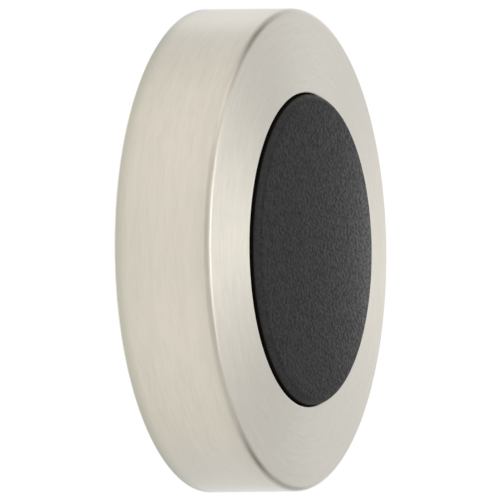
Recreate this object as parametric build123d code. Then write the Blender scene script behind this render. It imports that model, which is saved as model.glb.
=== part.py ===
from build123d import *
import math
import os

# Round wall door stop: a cast metal housing and the rubber buffer pressed into its front.
#
# Frame, in millimetres. The wall is the plane Y = 0 and the stop stands out of it along -Y,
# so its front faces -Y and its back faces +Y. +Z is up. The origin is where the axis of the
# round body meets the wall. Every turned form is a half section drawn in the XY plane,
# X being the radius and Y the place along the axis, and is revolved about the Y axis.

# Outside of the housing
rear_diameter = 60.0        # across the rim that sits on the wall
front_diameter = 59.6       # across the front edge, less than the rear by the casting's draft
edge_height = 12.2          # from the wall to the outer edge of the front face
face_rise = 1.05            # how much the front face rises from that edge to the opening
edge_radius = 0.8           # rounding of the front edge
rear_edge_break = 0.2       # small bevel round the rear rim

# Seat of the buffer, open to the front
opening_diameter = 38.8
opening_edge_break = 0.2    # small bevel round the opening
seat_depth = 4.8            # from the opening down to the seat's floor
groove_depth = 0.5          # groove in the seat's wall that holds the buffer's bead
groove_width = 1.6
groove_height = 1.5         # from the seat's floor to the middle of the groove

# Walls of the casting
side_wall = 2.4             # outer wall, at the wall end
face_wall = 2.4             # ring round the opening
seat_wall = 1.8             # ring behind the groove
seat_floor = 2.4            # disc under the buffer
draft_angle = 1.5           # taper of the walls and ribs in the hollow back, in degrees

# Hollow back
rib_count = 4
rib_thickness = 1.8         # at the open end
rib_setback = 0.6           # how far the ribs stay behind the wall plane
boss_diameter = 12.5        # round the screw hole, flush with the rim
corner_radius = 1.2         # upright corners of each pocket
root_bevel = 0.6            # along the foot and the back edge of the seat's ring

# Screw hole, for a countersunk wood screw of 4.5 mm
screw_hole_diameter = 5.0
screw_head_diameter = 9.4
countersink_angle = 90.0

# Buffer
buffer_clearance = 0.25     # all round, between the buffer and the opening
bead_clearance = 0.1        # between the bead and the groove, all round
buffer_proud = 1.15         # how far the buffer stands out of the opening
buffer_shoulder = 0.9       # height and width of the rounding of the striking face's edge
buffer_lead_in = 0.5        # bevel at the back that starts the buffer into the seat
screw_relief_diameter = 15.0
screw_relief_depth = 1.5    # hollow in the back of the buffer, over the screw's head

# Places along the axis, from the wall to the front
edge_y = -edge_height
opening_y = edge_y - face_rise
seat_floor_y = opening_y + seat_depth
floor_back_y = seat_floor_y + seat_floor
groove_y = seat_floor_y - groove_height
buffer_front_y = opening_y - buffer_proud

# Radii
rear_radius = rear_diameter / 2
front_radius = front_diameter / 2
opening_radius = opening_diameter / 2
groove_radius = opening_radius + groove_depth
seat_back_radius = groove_radius + seat_wall
buffer_radius = opening_radius - buffer_clearance

# The shoulder is rounded by two bevels that meet on its arc, halfway round
shoulder_middle = buffer_shoulder * (1 - math.cos(math.radians(45)))

# Slope of the front face: how far it falls back for each millimetre outwards
face_slope = face_rise / (front_radius - opening_radius)


def face_back_y(radius):
    """Where the back of the face's wall lies at this radius, parallel to the front face."""
    return edge_y + face_wall + (radius - front_radius) * face_slope


def half_section(*points):
    """A closed half section with these corners, each given as (radius, y)."""
    return make_face(Polyline(*points, close=True))


def corner(section, radius, y):
    """The corner of a half section that lies at this radius and this place."""
    return section.vertices().sort_by_distance((radius, y))[0]


def turned(section):
    """The solid that a half section makes when it is turned about the Y axis."""
    return revolve(section, Axis.Y)


def housing_blank():
    """The outside of the housing with the buffer's seat and its groove, still solid behind."""
    section = half_section(
        (0, 0),
        (rear_radius, 0),
        (front_radius, edge_y),
        (opening_radius, opening_y),
        (opening_radius, groove_y - groove_width / 2),
        (groove_radius, groove_y - groove_width / 2 + groove_depth),
        (groove_radius, groove_y + groove_width / 2 - groove_depth),
        (opening_radius, groove_y + groove_width / 2),
        (opening_radius, seat_floor_y),
        (0, seat_floor_y),
    )
    section = fillet(corner(section, front_radius, edge_y), edge_radius)
    section = chamfer(corner(section, opening_radius, opening_y), opening_edge_break)
    section = chamfer(corner(section, rear_radius, 0), rear_edge_break)
    return turned(section)


def hollow_space():
    """All that lies behind the face and the seat, before the boss and the ribs stand in it.

    It is shallow behind the seat's floor and deep in the channel round the seat. It is as
    wide as the housing, because the pockets that it is cut to leave the outer wall.
    """
    section = half_section(
        (0, 0),
        (rear_radius, 0),
        (rear_radius, face_back_y(rear_radius)),
        (seat_back_radius, face_back_y(seat_back_radius)),
        (seat_back_radius, floor_back_y),
        (0, floor_back_y),
    )
    section = chamfer(corner(section, seat_back_radius, face_back_y(seat_back_radius)), root_bevel)
    section = chamfer(corner(section, seat_back_radius, floor_back_y), root_bevel)
    return turned(section)


def pocket():
    """The space between two ribs: a sector with round corners that narrows to the front.

    Its straight sides are half a rib's thickness off the lines through the axis, so they meet
    at an apex a little way out from it.
    """
    half_angle = 180 / rib_count
    apex = Vector(rib_thickness / 2 / math.sin(math.radians(half_angle)), 0)
    reach = Vector(rear_diameter, 0)
    far_corners = [apex + reach.rotate(Axis.Z, turn) for turn in (-half_angle, half_angle)]
    wedge = make_face(Polyline(apex, *far_corners, close=True))
    outline = fillet((wedge & back_ring()).vertices(), corner_radius)
    depth = -opening_y - rib_setback
    drafted = Plane.XZ.offset(rib_setback) * extrude(outline, amount=depth, taper=draft_angle)
    return drafted & hollow_space()


def pockets():
    """One pocket for each gap between the ribs."""
    turn = 360 / rib_count
    return [Rot(0, turn * index, 0) * pocket() for index in range(rib_count)]


def back_ring():
    """What is open at the back, seen square on: the ring between the outer wall and the boss."""
    return Circle(rear_radius - side_wall) - Circle(boss_diameter / 2)


def rib_relief():
    """The thin ring of space between the ribs and the wall."""
    return extrude(Plane.XZ * back_ring(), amount=rib_setback)


def screw_hole():
    """The countersunk hole through the middle of the seat's floor and its boss."""
    hole_radius = screw_hole_diameter / 2
    head_radius = screw_head_diameter / 2
    sink_depth = (head_radius - hole_radius) / math.tan(math.radians(countersink_angle / 2))
    section = half_section(
        (0, 0),
        (hole_radius, 0),
        (hole_radius, seat_floor_y + sink_depth),
        (head_radius, seat_floor_y),
        (0, seat_floor_y),
    )
    return turned(section)


def housing():
    return housing_blank() - pockets() - rib_relief() - screw_hole()


def buffer():
    """The rubber disc: a round-shouldered face, a bead that snaps into the groove, a hollow back."""
    bead_radius = groove_radius - bead_clearance
    bead_half = groove_width / 2 - bead_clearance
    bead_rise = bead_radius - buffer_radius
    section = half_section(
        (0, buffer_front_y),
        (buffer_radius - buffer_shoulder, buffer_front_y),
        (buffer_radius - shoulder_middle, buffer_front_y + shoulder_middle),
        (buffer_radius, buffer_front_y + buffer_shoulder),
        (buffer_radius, groove_y - bead_half),
        (bead_radius, groove_y - bead_half + bead_rise),
        (bead_radius, groove_y + bead_half - bead_rise),
        (buffer_radius, groove_y + bead_half),
        (buffer_radius, seat_floor_y),
        (screw_relief_diameter / 2, seat_floor_y),
        (screw_relief_diameter / 2, seat_floor_y - screw_relief_depth),
        (0, seat_floor_y - screw_relief_depth),
    )
    section = chamfer(corner(section, buffer_radius, seat_floor_y), buffer_lead_in)
    return turned(section)


os.makedirs("parts", exist_ok=True)
export_step(housing(), "parts/housing.step")
export_step(buffer(), "parts/buffer.step")
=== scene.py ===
# %% [markdown]
# # A round wall door stop
#
# The object is a short metal drum that is screwed to a wall. A door handle strikes the black
# rubber buffer in its front. The drum is cast, brushed on a spindle and plated, so its look
# comes from thousands of fine scratches that run round its axis.
#
# The model already has its true sizes in the imported frame. This script only dresses it: it
# turns each piece again on a finer lathe, gives it its finish and sets up a camera and lights.

# %% Load the frame
import math

import bmesh
import bpy
from mathutils import Matrix, Vector


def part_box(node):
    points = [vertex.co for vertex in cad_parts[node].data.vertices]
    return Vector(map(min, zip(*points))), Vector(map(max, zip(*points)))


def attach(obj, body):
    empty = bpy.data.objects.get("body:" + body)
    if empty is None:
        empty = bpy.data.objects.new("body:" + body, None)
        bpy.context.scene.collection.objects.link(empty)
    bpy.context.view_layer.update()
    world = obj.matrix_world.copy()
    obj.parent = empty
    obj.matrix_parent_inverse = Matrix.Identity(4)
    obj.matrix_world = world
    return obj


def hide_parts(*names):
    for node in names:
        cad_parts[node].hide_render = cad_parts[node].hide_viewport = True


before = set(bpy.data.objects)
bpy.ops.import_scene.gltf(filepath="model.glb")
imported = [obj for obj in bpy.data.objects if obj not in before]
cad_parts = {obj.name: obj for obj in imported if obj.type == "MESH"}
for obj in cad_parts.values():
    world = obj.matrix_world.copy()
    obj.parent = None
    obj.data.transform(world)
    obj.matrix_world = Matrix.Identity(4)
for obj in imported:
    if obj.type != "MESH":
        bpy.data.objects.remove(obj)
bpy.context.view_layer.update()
print("packed nodes:", sorted(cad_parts))

# %% [markdown]
# ## Sizes
#
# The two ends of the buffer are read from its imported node. The other sizes are given here in
# metres, because most of them, such as the width of a groove, can't be read from a box. Heights
# are measured from the wall towards the front: each piece is turned with its axis up, as it would
# lie on a bench, and tipped to the wall later.

# %% Sizes
MM = 0.001

housing_low, housing_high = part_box("housing")
buffer_low, buffer_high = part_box("buffer")

rear_radius = 30.0 * MM
front_radius = 29.8 * MM
edge_height = 12.2 * MM
opening_radius = 19.4 * MM
opening_height = 13.25 * MM
seat_height = -buffer_high.y
buffer_height = -buffer_low.y
side_wall = 2.4 * MM
face_wall = 2.4 * MM
seat_wall = 1.8 * MM
seat_floor = 2.4 * MM
groove_depth = 0.5 * MM
groove_rise = 1.5 * MM
groove_half = 0.8 * MM
groove_radius = opening_radius + groove_depth
groove_height = seat_height + groove_rise
seat_back_radius = groove_radius + seat_wall
floor_back_height = seat_height - seat_floor
inner_radius = rear_radius - side_wall
boss_radius = 6.25 * MM
rib_setback = 0.6 * MM
rib_thickness = 1.8 * MM
rib_count = 4
pocket_corner = 1.2 * MM
draft = math.radians(1.5)
hole_radius = 2.5 * MM
head_radius = 4.7 * MM
face_slope = (opening_height - edge_height) / (front_radius - opening_radius)
side_slope = (rear_radius - front_radius) / edge_height

print(f"housing {1000 * (housing_high.x - housing_low.x):.2f} mm across, "
      f"{-1000 * housing_low.y:.2f} mm deep")

# %% [markdown]
# ## The camera
#
# The photograph is taken from far to the left of the stop and a touch from below. A long lens
# keeps the rims almost parallel, as they are in the picture.

# %% Camera
camera_azimuth = math.radians(-67.75)
camera_elevation = math.radians(-1.51)
camera_distance = 0.700
camera_lens = 406.9
body_middle = Vector((0, -0.0065, 0))
aim_across = -0.00110
aim_up = 0.00004


def make_camera():
    """Stands the camera at its angle, level, looking at the middle of the body."""
    back = Vector((
        math.sin(camera_azimuth) * math.cos(camera_elevation),
        -math.cos(camera_azimuth) * math.cos(camera_elevation),
        math.sin(camera_elevation),
    ))
    right = Vector((0, 0, 1)).cross(back).normalized()
    up = back.cross(right)
    place = body_middle + camera_distance * back + aim_across * right + aim_up * up
    turn = Matrix((right, up, back)).transposed().to_4x4()
    camera = bpy.data.objects.new("camera", bpy.data.cameras.new("camera"))
    camera.matrix_world = Matrix.Translation(place) @ turn
    camera.data.lens = camera_lens
    camera.data.sensor_width = 36
    camera.data.clip_start = 0.05
    camera.data.clip_end = 20
    bpy.context.scene.collection.objects.link(camera)
    bpy.context.scene.camera = camera
    return camera


camera = make_camera()
print("camera at", [round(1000 * x) for x in camera.location], "mm")

# %% [markdown]
# ## A lathe
#
# Both pieces are turned forms. One outline of half the section, spun round the axis, gives all of
# it, and the outline can be read like a drawing. A real edge is never perfectly sharp, so a
# corner can be given a radius and becomes an arc. Edges that turn by less than 25 degrees are
# shaded smoothly, and the others stay crisp.

# %% Lathe
turn_steps = 256
arc_steps = 8
sharp_angle = math.radians(25)
axis_width = 1e-9
weld_distance = 1e-7
merge_distance = 0.001 * MM


def rounded(before, corner, after, radius):
    """The points of an arc that rounds a corner of an outline."""
    corner = Vector(corner)
    one = (Vector(before) - corner).normalized()
    two = (Vector(after) - corner).normalized()
    half = one.angle(two) / 2
    middle = corner + (one + two).normalized() * (radius / math.sin(half))
    start = (corner + one * (radius / math.tan(half)) - middle).normalized()
    end = (corner + two * (radius / math.tan(half)) - middle).normalized()
    steps = [step / arc_steps for step in range(arc_steps + 1)]
    return [tuple(middle + radius * start.slerp(end, step)) for step in steps]


def outline(*corners):
    """Points round a half section. A corner is (radius, height) or (radius, height, rounding)."""
    points = []
    for index, corner in enumerate(corners):
        if len(corner) == 3:
            before = corners[index - 1][:2]
            after = corners[(index + 1) % len(corners)][:2]
            points.extend(rounded(before, corner[:2], after, corner[2]))
        else:
            points.append(corner)
    return points


def turned(name, points):
    """The mesh that a closed half section makes when it is spun about the Z axis."""
    work = bmesh.new()
    ring = [work.verts.new((radius, 0, height)) for radius, height in points]
    edges = [work.edges.new((ring[index - 1], ring[index])) for index in range(len(ring))]
    on_axis = [edge for edge in edges if all(vert.co.x < axis_width for vert in edge.verts)]
    edges = [edge for edge in edges if edge not in on_axis]
    bmesh.ops.spin(
        work, geom=ring + edges, cent=(0, 0, 0), axis=(0, 0, 1),
        angle=math.tau, steps=turn_steps, use_merge=True,
    )
    bmesh.ops.delete(work, geom=on_axis, context="EDGES")
    bmesh.ops.remove_doubles(work, verts=work.verts, dist=weld_distance)
    bmesh.ops.recalc_face_normals(work, faces=work.faces)
    mesh = bpy.data.meshes.new(name)
    work.to_mesh(mesh)
    work.free()
    return mesh


def smoothed(mesh):
    """Cleans a mesh and shades it smoothly between its edges that are sharp on the real piece."""
    work = bmesh.new()
    work.from_mesh(mesh)
    bmesh.ops.remove_doubles(work, verts=work.verts, dist=merge_distance)
    bmesh.ops.dissolve_degenerate(work, edges=work.edges, dist=merge_distance)
    for face in work.faces:
        face.smooth = True
    for edge in work.edges:
        edge.smooth = edge.calc_face_angle(0) < sharp_angle
    work.to_mesh(mesh)
    work.free()


print("lathe:", round(math.tau * rear_radius / turn_steps / MM, 2), "mm between points on the rim")

# %% [markdown]
# ## The housing's blank
#
# This is the outside of the casting with the seat of the buffer, still solid behind. The front
# face rises a little from its outer edge to the opening, which is why it reads as a shallow
# cone. The outer edge has the soft rounding of a casting, and the opening only a broken edge.
# The ribs will stay a little behind the wall, so the blank already has a shallow ring cut into
# its back. It is turned with the rest, which gives cleaner faces than a later cut.

# %% Housing blank
edge_rounding = 0.8 * MM
rear_edge_break = 0.2 * MM
opening_edge_break = 0.2 * MM

sink_height = seat_height - (head_radius - hole_radius)

blank = turned("housing", outline(
    (hole_radius, 0),
    (boss_radius, 0),
    (boss_radius, rib_setback),
    (inner_radius, rib_setback),
    (inner_radius, 0),
    (rear_radius - rear_edge_break, 0),
    (rear_radius - rear_edge_break * side_slope, rear_edge_break),
    (front_radius, edge_height, edge_rounding),
    (opening_radius, opening_height, opening_edge_break),
    (opening_radius, groove_height + groove_half),
    (groove_radius, groove_height + groove_half - groove_depth),
    (groove_radius, groove_height - groove_half + groove_depth),
    (opening_radius, groove_height - groove_half),
    (opening_radius, seat_height),
    (head_radius, seat_height),
    (hole_radius, sink_height),
))
print("blank:", len(blank.polygons), "faces")

# %% [markdown]
# ## One core of the mould
#
# A die casting is hollow, so that its walls are all about as thick. Four ribs join the screw's
# boss to the outer wall, and the mould's cores leave one pocket between each two ribs. So a core
# is what is modelled: a sector with round corners that narrows a little with depth. It starts
# just outside the ribs' tops and a hair inside the walls, because a Boolean leaves gaps where two
# faces lie in one plane.

# %% Core
mouth_step = 0.006 * MM
mouth_height = rib_setback - 0.1 * MM
sweep_steps = 40


def outward(angle):
    """The unit vector that points out from the axis at this angle."""
    return Vector((math.cos(angle), math.sin(angle)))


def sector_outline(inset):
    """Points round one pocket, seen from behind, moved in by an inset."""
    half_angle = math.pi / rib_count
    corner = pocket_corner - inset
    off = rib_thickness / 2 + inset + corner
    points = []
    for radius, grow, sign in ((inner_radius - inset, -1, 1), (boss_radius + inset, 1, -1)):
        centre_radius = radius + grow * corner
        along = math.sqrt(centre_radius ** 2 - off ** 2)
        centre_angle = half_angle - math.atan2(off, along)
        arcs = []
        for edge in (-sign, sign):
            centre = centre_radius * outward(edge * centre_angle)
            radial = outward(edge * centre_angle) * -grow
            wall = outward(edge * (half_angle + math.pi / 2))
            arcs.append([
                centre + corner * wall.slerp(radial, step / arc_steps)
                for step in range(arc_steps + 1)
            ])
        first, last = arcs
        last.reverse()
        start, end = -sign * centre_angle, sign * centre_angle
        middle = [
            radius * outward(start + (end - start) * step / sweep_steps)
            for step in range(1, sweep_steps)
        ]
        points.extend(first + middle + last)
    return points


def pocket_core():
    """The mesh of one core, from just behind the ribs' tops to beyond the front."""
    work = bmesh.new()
    rings = []
    for height in (mouth_height, opening_height):
        inset = mouth_step + (height - mouth_height) * math.tan(draft)
        rings.append([work.verts.new((*point, height)) for point in sector_outline(inset)])
    low, high = rings
    work.faces.new(low)
    work.faces.new(high)
    for index in range(len(low)):
        work.faces.new((low[index - 1], low[index], high[index], high[index - 1]))
    bmesh.ops.recalc_face_normals(work, faces=work.faces)
    mesh = bpy.data.meshes.new("pocket")
    work.to_mesh(mesh)
    work.free()
    return mesh


core = pocket_core()
print("core:", len(core.vertices), "points")

# %% [markdown]
# ## A pocket
#
# The core reaches through the front, so it is cut off where the back of the face, the ring behind
# the seat and the seat's floor are. These three follow the front at an even wall thickness, and
# the outline of the space behind them is turned like the other pieces.

# %% Pocket
root_bevel = 0.6 * MM
behind_wall = -1 * MM


def combined(mesh, other, operation):
    """A new mesh from two others by a Boolean modifier: DIFFERENCE, INTERSECT or UNION."""
    base, tool = (bpy.data.objects.new("work", data) for data in (mesh, other))
    for item in (base, tool):
        bpy.context.scene.collection.objects.link(item)
    modifier = base.modifiers.new("cut", "BOOLEAN")
    modifier.operation = operation
    modifier.object = tool
    modifier.solver = "EXACT"
    modifier.material_mode = "TRANSFER"
    bpy.context.view_layer.update()
    graph = bpy.context.evaluated_depsgraph_get()
    made = bpy.data.meshes.new_from_object(base.evaluated_get(graph))
    for item in (base, tool):
        bpy.data.objects.remove(item)
    return made


def face_back(radius):
    """The height of the back of the face's wall at this radius."""
    return edge_height - face_wall + (front_radius - radius) * face_slope


space = turned("space", outline(
    (0, behind_wall),
    (rear_radius, behind_wall),
    (rear_radius, face_back(rear_radius)),
    (seat_back_radius + root_bevel, face_back(seat_back_radius + root_bevel)),
    (seat_back_radius, face_back(seat_back_radius) - root_bevel),
    (seat_back_radius, floor_back_height + root_bevel),
    (seat_back_radius - root_bevel, floor_back_height),
    (0, floor_back_height),
))
pocket = combined(core, space, "INTERSECT")
print("pocket:", len(pocket.polygons), "faces")

# %% [markdown]
# ## Where each finish goes
#
# One piece can carry several finishes, each in a slot of its own. The outside is brushed, all
# that faces the wall is left as cast, and the wall of the seat is painted near black as painted
# shade. A face of the blank gets its slot from where it lies. Painting slots by hand would have to
# be done again after each change of a size.

# %% Slots
slack = 0.01 * MM
brushed = bpy.data.materials.new("brushed_nickel")
as_cast = bpy.data.materials.new("cast_back")
# The seat's wall is painted near black as painted shade, where little light gets in beside the
# rubber.
seat_painted_shade = bpy.data.materials.new("seat_painted_shade")
rubber = bpy.data.materials.new("black_rubber")
housing_finishes = (brushed, as_cast, seat_painted_shade)
seat_edge_height = opening_height - opening_edge_break


def finish_at(radius, height):
    """The finish of the blank at this radius and height."""
    in_recess = radius < inner_radius + slack and height < rib_setback + slack
    in_screw_hole = radius < head_radius and height < seat_height - slack
    in_seat = radius < groove_radius + slack and height < seat_edge_height + slack
    if height < slack or in_recess or in_screw_hole:
        return as_cast
    return seat_painted_shade if in_seat else brushed


for material in housing_finishes:
    blank.materials.append(material)
for polygon in blank.polygons:
    finish = finish_at(polygon.center.xy.length, polygon.center.z)
    polygon.material_index = housing_finishes.index(finish)
pocket.materials.clear()
pocket.materials.append(as_cast)
print("finishes of the housing:", [material.name for material in housing_finishes])

# %% [markdown]
# ## Cut the casting
#
# Boolean modifiers take the four pockets out of the blank one after another. The cut faces bring
# the slot of the core with them.

# %% Housing


def placed(name, mesh, *materials):
    """An object of a piece that was turned on the Z axis, tipped to face the front."""
    piece = bpy.data.objects.new(name, mesh)
    piece.matrix_world = Matrix.Rotation(math.pi / 2, 4, "X")
    mesh.materials.clear()
    for material in materials:
        mesh.materials.append(material)
    bpy.context.scene.collection.objects.link(piece)
    even = piece.modifiers.new("even_shading", "WEIGHTED_NORMAL")
    even.keep_sharp = True
    return piece


casting = blank
for index in range(rib_count):
    turned_pocket = pocket.copy()
    turned_pocket.transform(Matrix.Rotation(math.tau * index / rib_count, 4, "Z"))
    casting = combined(casting, turned_pocket, "DIFFERENCE")
smoothed(casting)
slots = [polygon.material_index for polygon in casting.polygons]
housing = placed("door_stop_housing", casting, *housing_finishes)
casting.polygons.foreach_set("material_index", slots)
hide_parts("housing")
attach(housing, "root")
print("housing:", len(casting.polygons), "faces,", slots.count(1), "of them as cast")

# %% [markdown]
# ## The buffer
#
# The buffer is a moulded rubber disc with a round shoulder. Its bead sits in the housing's
# groove, and its back is hollow over the screw's head. It is left out of reflections, because a
# spun surface would smear the black disc far over the metal beside it, and the photographed
# metal stays bright right up to the opening.

# %% Buffer
buffer_gap = 0.25 * MM
bead_gap = 0.1 * MM
relief_depth = 1.5 * MM
buffer_radius = opening_radius - buffer_gap
bead_radius = groove_radius - bead_gap
bead_half = groove_half - bead_gap
bead_rise = bead_radius - buffer_radius
relief_radius = 7.5 * MM
relief_height = seat_height + relief_depth
buffer_shoulder = 0.9 * MM
buffer_lead_in = 0.5 * MM

disc = turned("buffer", outline(
    (0, relief_height),
    (relief_radius, relief_height),
    (relief_radius, seat_height),
    (buffer_radius - buffer_lead_in, seat_height),
    (buffer_radius, seat_height + buffer_lead_in),
    (buffer_radius, groove_height - bead_half),
    (bead_radius, groove_height - bead_half + bead_rise),
    (bead_radius, groove_height + bead_half - bead_rise),
    (buffer_radius, groove_height + bead_half),
    (buffer_radius, buffer_height, buffer_shoulder),
    (0, buffer_height),
))
smoothed(disc)
buffer = placed("rubber_buffer", disc, rubber)
buffer.visible_glossy = False
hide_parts("buffer")
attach(buffer, "root")
print("buffer:", len(disc.polygons), "faces")

# %% [markdown]
# ## Sums with sockets
#
# A procedural finish is a sum of patterns, and sums are easier to read as text than as wires.
# Wire wraps an output socket, so that 1 - mask or wear * 0.3 adds the Math node it needs. Every
# other node comes from one method of Finish, which sets the node up before it fills its inputs,
# because a setting can change which inputs there are. The trial at the end is cleared away when
# the rubber gets its finish.

# %% Wire and Finish


class Finish:
    """The node tree of one material, or of the world."""

    def __init__(self, owner):
        owner.use_nodes = True
        self.tree = owner.node_tree
        self.tree.nodes.clear()

    def node(self, kind, settings=None, inputs=None):
        """Adds a node, sets it up, fills or links its inputs, and wraps its first output."""
        made = self.tree.nodes.new(kind)
        for name, value in (settings or {}).items():
            setattr(made, name, value)
        for name, value in (inputs or {}).items():
            if isinstance(value, Wire):
                self.tree.links.new(value.socket, made.inputs[name])
            else:
                made.inputs[name].default_value = value
        shown = [socket for socket in made.outputs if socket.enabled]
        return Wire(self, shown[0]) if shown else made

    def maths(self, operation, *values):
        """A Math node on these values."""
        return self.node("ShaderNodeMath", {"operation": operation}, dict(enumerate(values)))


class Wire:
    """An output socket that can be used in sums."""

    def __init__(self, finish, socket):
        self.finish = finish
        self.socket = socket

    def out(self, name):
        """Another output of the same node."""
        return Wire(self.finish, self.socket.node.outputs[name])

    def __add__(self, other):
        return self.finish.maths("ADD", self, other)

    __radd__ = __add__

    def __sub__(self, other):
        return self.finish.maths("SUBTRACT", self, other)

    def __rsub__(self, other):
        return self.finish.maths("SUBTRACT", other, self)

    def __mul__(self, other):
        return self.finish.maths("MULTIPLY", self, other)

    __rmul__ = __mul__

    def __truediv__(self, other):
        return self.finish.maths("DIVIDE", self, other)

    def __rtruediv__(self, other):
        return self.finish.maths("DIVIDE", other, self)


trial = 1 - Finish(rubber).node("ShaderNodeTexNoise") * 0.3
print("1 - noise * 0.3 takes", len(trial.finish.tree.nodes), "nodes")

# %% [markdown]
# ## Brush marks
#
# The drum is brushed while it spins, so every scratch is an arc about the axis. A noise in polar
# coordinates follows them: it changes fast with the radius and the height, and slowly with the
# angle. The angle goes in as a point on a circle, so the noise has no seam. An image of scratches
# would need a UV map, and would stretch where the face turns into the side.

# %% Brush marks
mark_layers = (
    # share, fineness, spread
    (1.1, 3000, 11.0),
    (0.7, 1200, 4.0),
    (0.3, 700, 2.5),
)


def place_on_piece(finish):
    """Where a point lies on its piece: across, up and along the turning axis."""
    place = finish.node("ShaderNodeTexCoord").out("Object")
    parts = finish.node("ShaderNodeSeparateXYZ", inputs={"Vector": place})
    return parts.out("X"), parts.out("Y"), parts.out("Z")


def brush_marks(finish, fineness, spread):
    """Noise about zero that is drawn out round the axis. Fineness is in marks for each metre."""
    across, up, height = place_on_piece(finish)
    radius = finish.maths("SQRT", across * across + up * up)
    spot = finish.node("ShaderNodeCombineXYZ", inputs={
        "X": across / radius * spread,
        "Y": up / radius * spread,
        "Z": radius * fineness,
    })
    noise = finish.node("ShaderNodeTexNoise", {"noise_dimensions": "4D"}, {
        "Vector": spot, "W": height * fineness, "Scale": 1.0, "Detail": 2.0, "Roughness": 0.6,
    })
    return noise - 0.5


for share, fineness, spread in mark_layers:
    print(f"marks about {1000 / fineness:.1f} mm wide and {rear_radius / spread / MM:.0f} mm long")

# %% [markdown]
# ## Brushed nickel
#
# Three layers of marks, from fine to broad, vary the colour, the roughness and the relief
# together, as real scratches do. The anisotropic highlight is drawn out across them. The last two
# millimetres before the wall are painted darker as painted shade, and the middle of the side is
# painted a little lighter than its ends as a painted sheen.

# %% Brushed nickel
mark_depth = 0.04 * MM
nickel_roughness = 0.34
roughness_swing = 0.12
# These five numbers set painted light: a painted sheen on the middle of the side, and painted
# shade in the last two millimetres before the wall.
painted_sheen_share = 0.33
painted_shade_height = 1.8 * MM
painted_sheen_start = 7 * MM
painted_sheen_end = 9.5 * MM
painted_shade_nickel = (0.580, 0.565, 0.480, 1)
dark_nickel = (0.665, 0.620, 0.545, 1)
light_nickel = (0.800, 0.745, 0.655, 1)


def make_brushed(material):
    """Gives the outside of the housing its brushed and plated metal."""
    finish = Finish(material)
    marks = sum(
        share * brush_marks(finish, fineness, spread)
        for share, fineness, spread in mark_layers
    )
    height = place_on_piece(finish)[2]

    def step(low, high):
        """Rises softly from 0 to 1 between two heights."""
        return finish.node("ShaderNodeMapRange", {"interpolation_type": "SMOOTHSTEP"}, {
            "Value": height, "From Min": low, "From Max": high,
        })

    # Painted sheen: the middle of the side is painted lighter than its ends.
    painted_side_sheen = step(0.0, painted_sheen_start) - step(painted_sheen_end, edge_height)
    nickel = finish.node("ShaderNodeMix", {"data_type": "RGBA"}, {
        "Factor": 0.5 + marks + painted_sheen_share * painted_side_sheen, "A": dark_nickel, "B": light_nickel,
    })
    # Painted shade: the last two millimetres before the wall are painted darker.
    tint = finish.node("ShaderNodeMix", {"data_type": "RGBA"}, {
        "Factor": step(0.0, painted_shade_height), "A": painted_shade_nickel, "B": nickel,
    })
    bump = finish.node("ShaderNodeBump", inputs={
        "Strength": 0.35, "Distance": mark_depth, "Height": marks,
    })
    shader = finish.node("ShaderNodeBsdfPrincipled", inputs={
        "Base Color": tint,
        "Metallic": 1.0,
        "Roughness": nickel_roughness + roughness_swing * marks,
        "Anisotropic": 0.8,
        "Anisotropic Rotation": 0.25,
        "Normal": bump,
    })
    finish.node("ShaderNodeOutputMaterial", inputs={"Surface": shader})


make_brushed(brushed)
print("brushed nickel:", len(brushed.node_tree.nodes), "nodes")

# %% [markdown]
# ## Cast metal and the seat's painted shade
#
# The back keeps the fine grain of the mould and isn't brushed. The wall of the seat is neither
# brushed nor plated, and lies in the dark beside the rubber. It is painted close to black as
# painted shade, so that the gap round the buffer reads as a thin black line.

# %% Cast metal and seat's painted shade
cast_metal = (0.52, 0.505, 0.47, 1)
cast_roughness = 0.5
cast_swing = 0.1
cast_grain_depth = 0.06 * MM
dark_painted_shade = (0.020, 0.019, 0.017, 1)
light_painted_shade = (0.040, 0.037, 0.031, 1)


def make_cast(material):
    """Gives the back of the housing its plain grained metal."""
    finish = Finish(material)
    place = finish.node("ShaderNodeTexCoord").out("Object")
    grain = finish.node("ShaderNodeTexNoise", inputs={
        "Vector": place, "Scale": 1800.0, "Detail": 3.0,
    })
    bump = finish.node("ShaderNodeBump", inputs={
        "Strength": 0.5, "Distance": cast_grain_depth, "Height": grain,
    })
    shader = finish.node("ShaderNodeBsdfPrincipled", inputs={
        "Base Color": cast_metal,
        "Metallic": 1.0,
        "Roughness": cast_roughness + cast_swing * (grain - 0.5),
        "Normal": bump,
    })
    finish.node("ShaderNodeOutputMaterial", inputs={"Surface": shader})


def make_seat_painted_shade(material):
    """Paints the wall of the seat near black, as painted shade."""
    finish = Finish(material)
    place = finish.node("ShaderNodeTexCoord").out("Object")
    # A mottle between two near-black tones of the painted shade.
    seat_shade_mottle = finish.node("ShaderNodeTexNoise", inputs={
        "Vector": place, "Scale": 700.0, "Detail": 2.0,
    })
    tone = finish.node("ShaderNodeMix", {"data_type": "RGBA"}, {
        "Factor": seat_shade_mottle, "A": dark_painted_shade, "B": light_painted_shade,
    })
    shader = finish.node("ShaderNodeBsdfPrincipled", inputs={
        "Base Color": tone,
        "Specular IOR Level": 0.1,
        "Roughness": 0.6,
    })
    finish.node("ShaderNodeOutputMaterial", inputs={"Surface": shader})


make_cast(as_cast)
make_seat_painted_shade(seat_painted_shade)
for material in (as_cast, seat_painted_shade):
    print(material.name, "has", len(material.node_tree.nodes), "nodes")

# %% [markdown]
# ## Rubber
#
# The striking face is moulded with a fine grain, which gives it small light and dark specks and
# takes its gloss away. The shoulder is painted a little lighter as a painted highlight, and the
# side below it is smooth black rubber, painted darker still as painted shade in the gap. The grain
# is drawn out a little across, because the photograph looks along the face from the left and
# softens what is narrow there. The bump gives the relief, and the mix gives the specks.

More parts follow.
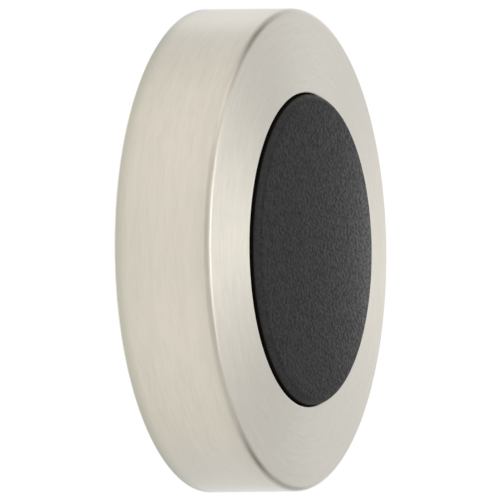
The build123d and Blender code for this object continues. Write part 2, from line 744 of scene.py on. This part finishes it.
# %% Rubber
grain_scale = 2450.0
grain_stretch = 0.60
blotch_scale = 900.0
grain_depth = 0.2 * MM
grain_share = 1.5
blotch_share = 0.6
# The next two numbers set a painted highlight on the rounded shoulder.
shoulder_highlight_share = 0.6
shoulder_highlight_end = buffer_height - 0.3 * MM
texture_start = buffer_height - buffer_shoulder - 0.05 * MM
texture_end = buffer_height - buffer_shoulder + 0.15 * MM
# The smooth side's near black is partly the rubber's own black and partly painted shade in the
# gap.
smooth_rubber_and_gap_shade = (0.004, 0.0035, 0.003, 1)
grained_rubber = (0.0325, 0.0325, 0.0328, 1)


def make_rubber(material):
    """Gives the buffer its grained face and its smooth side."""
    finish = Finish(material)
    across, up, height = place_on_piece(finish)
    place = finish.node("ShaderNodeCombineXYZ", inputs={
        "X": across * grain_stretch, "Y": up, "Z": height,
    })
    textured = finish.node("ShaderNodeMapRange", inputs={
        "Value": height, "From Min": texture_start, "From Max": texture_end,
    })
    # Painted highlight: the rounded shoulder is painted lighter than the flat face.
    painted_shoulder_highlight = 1 - finish.node("ShaderNodeMapRange", inputs={
        "Value": height, "From Min": shoulder_highlight_end, "From Max": buffer_height,
    })
    grain = finish.node("ShaderNodeTexNoise", inputs={
        "Vector": place, "Scale": grain_scale, "Detail": 2.0,
    })
    blotches = finish.node("ShaderNodeTexNoise", inputs={
        "Vector": place, "Scale": blotch_scale, "Detail": 2.0,
    })
    specks = grain_share * (grain - 0.5) + blotch_share * (blotches - 0.5)
    speckle = textured * (1.0 + shoulder_highlight_share * painted_shoulder_highlight + specks)
    bump = finish.node("ShaderNodeBump", inputs={
        "Strength": 1.0, "Distance": grain_depth, "Height": grain * textured,
    })
    # Below the grain the side gets that near black: the rubber's own black and painted shade in
    # the gap.
    tone = finish.node("ShaderNodeMix", {"data_type": "RGBA", "clamp_factor": False}, {
        "Factor": speckle, "A": smooth_rubber_and_gap_shade, "B": grained_rubber,
    })
    shader = finish.node("ShaderNodeBsdfPrincipled", inputs={
        "Base Color": tone,
        "Specular IOR Level": 0.06,
        "Roughness": 0.7,
        "Normal": bump,
    })
    finish.node("ShaderNodeOutputMaterial", inputs={"Surface": shader})


make_rubber(rubber)
grain_size = 1 / grain_scale / MM
print(f"rubber: grain about {grain_size / grain_stretch:.1f} by {grain_size:.1f} mm")

# %% [markdown]
# ## The tent
#
# The stop is photographed hung in a white tent, so what the metal shows is the tent. It is bright
# behind the stop, with a strong soft light in front at the right and weaker ones elsewhere. Two
# dark flags, high and low at the right in front, give the thin dark line along the front edge,
# and a third, low at the right, shades the bottom of the face. Lamps could do this too, but each
# would add its own sharp highlight.
#
# The world is that tent: its strength is a sum of soft patches over all directions, and a patch
# with a negative strength is a flag. Its light is a little cooler at the right. The camera itself
# sees plain white.

# %% Tent
scene = bpy.context.scene
scene.view_settings.view_transform = "Standard"

tent_strength = 0.615
tent_colour = (1.000, 1.000, 0.975, 1)
cool_colour = (0.972, 1.000, 1.030, 1)
cool_azimuth = 95
plain_white = (1, 1, 1, 1)
glows = (
    # azimuth, elevation and spread in degrees, then strength
    (180, 0, 50, 1.12),
    (117, 38, 12, 0.26),
    (112, 0, 18, 0.25),
    (90, 0, 24, 0.39),
    (84, 12, 12, 0.12),
    (50, 3, 10, 0.25),
    (20, 3, 16, 2.19),
    (-30, 60, 22, 0.52),
    (-30, -60, 22, 0.06),
    (-110, 35, 30, 0.10),
    (-110, -35, 30, 0.08),
    (50, 47, 16, -0.50),
    (50, -47, 16, -0.56),
    (80, -24, 13, -0.40),
)


def direction_to(azimuth, elevation):
    """The way from the stop to a light. Azimuth 0 is straight in front and 90 at the right."""
    turn, rise = math.radians(azimuth), math.radians(elevation)
    level = math.cos(rise)
    return Vector((math.sin(turn) * level, -math.cos(turn) * level, math.sin(rise)))


def make_tent():
    """The world, as a sum of soft patches of light and shade."""
    world = bpy.data.worlds.new("white_tent")
    finish = Finish(world)
    direction = finish.node("ShaderNodeTexCoord").out("Generated")

    def towards(way):
        """The cosine of the angle between a direction and this way."""
        return finish.node("ShaderNodeVectorMath", {"operation": "DOT_PRODUCT"}, {
            0: direction, 1: tuple(way),
        })

    def glow(azimuth, elevation, spread, strength):
        """A soft patch of light that fades with the angle from its middle."""
        off = towards(direction_to(azimuth, elevation)) - 1.0
        falloff = 1 / (1 - math.cos(math.radians(spread)))
        return finish.maths("EXPONENT", off * falloff) * strength

    light = tent_strength + sum(glow(*patch) for patch in glows)
    colour = finish.node("ShaderNodeMix", {"data_type": "RGBA"}, {
        "Factor": towards(direction_to(cool_azimuth, 0)), "A": tent_colour, "B": cool_colour,
    })
    seen = finish.node("ShaderNodeLightPath").out("Is Camera Ray")
    shown = finish.node("ShaderNodeMix", {"data_type": "RGBA"}, {
        "Factor": seen, "A": colour, "B": plain_white,
    })
    background = finish.node("ShaderNodeBackground", inputs={
        "Color": shown,
        "Strength": seen + (1 - seen) * light,
    })
    finish.node("ShaderNodeOutputWorld", inputs={"Surface": background})
    scene.world = world


make_tent()
print("tent:", len(scene.world.node_tree.nodes), "nodes")

# %% [markdown]
# ## Reflector and floor
#
# A narrow upright reflector stands close to the right of the stop, and the rubber is lighter on
# that side. Light linking keeps it off the metal and the floor. The floor is plain and pale. It
# lies below the stop, stays out of its reflections and doesn't shade it, as if the tent's light
# came up through it.

# %% Reflector and floor
reflector_place = Vector((0.0315, -0.0184, 0.008))
reflector_width = 0.003
reflector_height = 0.070
reflector_power = 0.061
floor_height = -0.06
floor_radius = 1.2
floor_tone = (0.8, 0.8, 0.79, 1)


def make_reflector():
    """A weak upright strip of light beside the rubber, linked to the rubber alone."""
    light = bpy.data.objects.new("reflector", bpy.data.lights.new("reflector", "AREA"))
    light.data.shape = "RECTANGLE"
    light.data.size = reflector_width
    light.data.size_y = reflector_height
    light.data.energy = reflector_power
    light.location = reflector_place
    light.rotation_euler = Vector((1, 0, 0)).to_track_quat("Z", "Y").to_euler()
    light.visible_camera = False
    light.visible_glossy = False
    scene.collection.objects.link(light)
    lit = bpy.data.collections.new("lit_by_reflector")
    lit.objects.link(buffer)
    light.light_linking.receiver_collection = lit


def make_floor():
    """A round pale floor under the stop."""
    work = bmesh.new()
    bmesh.ops.create_circle(work, cap_ends=True, segments=96, radius=floor_radius)
    mesh = bpy.data.meshes.new("floor")
    work.to_mesh(mesh)
    work.free()
    floor = bpy.data.objects.new("floor", mesh)
    floor.location.z = floor_height
    floor.visible_glossy = False
    floor.visible_shadow = False
    scene.collection.objects.link(floor)
    material = bpy.data.materials.new("pale_floor")
    finish = Finish(material)
    shader = finish.node("ShaderNodeBsdfPrincipled", inputs={
        "Base Color": floor_tone, "Roughness": 0.9,
    })
    finish.node("ShaderNodeOutputMaterial", inputs={"Surface": shader})
    mesh.materials.append(material)


make_reflector()
make_floor()
print(f"floor: {2 * floor_radius:.1f} m across")

# %% [markdown]
# ## Finish
#

# %% Finish
print("scene set up")
